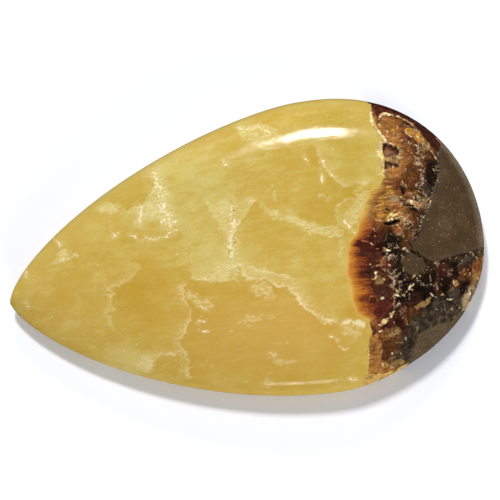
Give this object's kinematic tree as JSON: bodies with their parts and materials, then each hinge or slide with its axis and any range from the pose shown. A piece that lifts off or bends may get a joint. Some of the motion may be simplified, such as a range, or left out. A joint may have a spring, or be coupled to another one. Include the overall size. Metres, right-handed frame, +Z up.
{
  "type": "pear cabochon gemstone",
  "caption": "Pear-shaped cabochon of yellow septarian calcite with a dark crystal band and brown mudstone at its round end, on a flat back.",
  "frame": {"origin": "middle of the flat back's bounding box, on the surface the stone lies on", "axes": "+X from the pear's point to its round end, +Z up out of the flat back, towards the top of the crown"},
  "size_m": [0.04, 0.0248, 0.0064],
  "materials": {
    "polished_calcite": "polished"
  },
  "bodies": {
    "root": {"cabochon": "polished_calcite"}
  },
  "joints": []
}
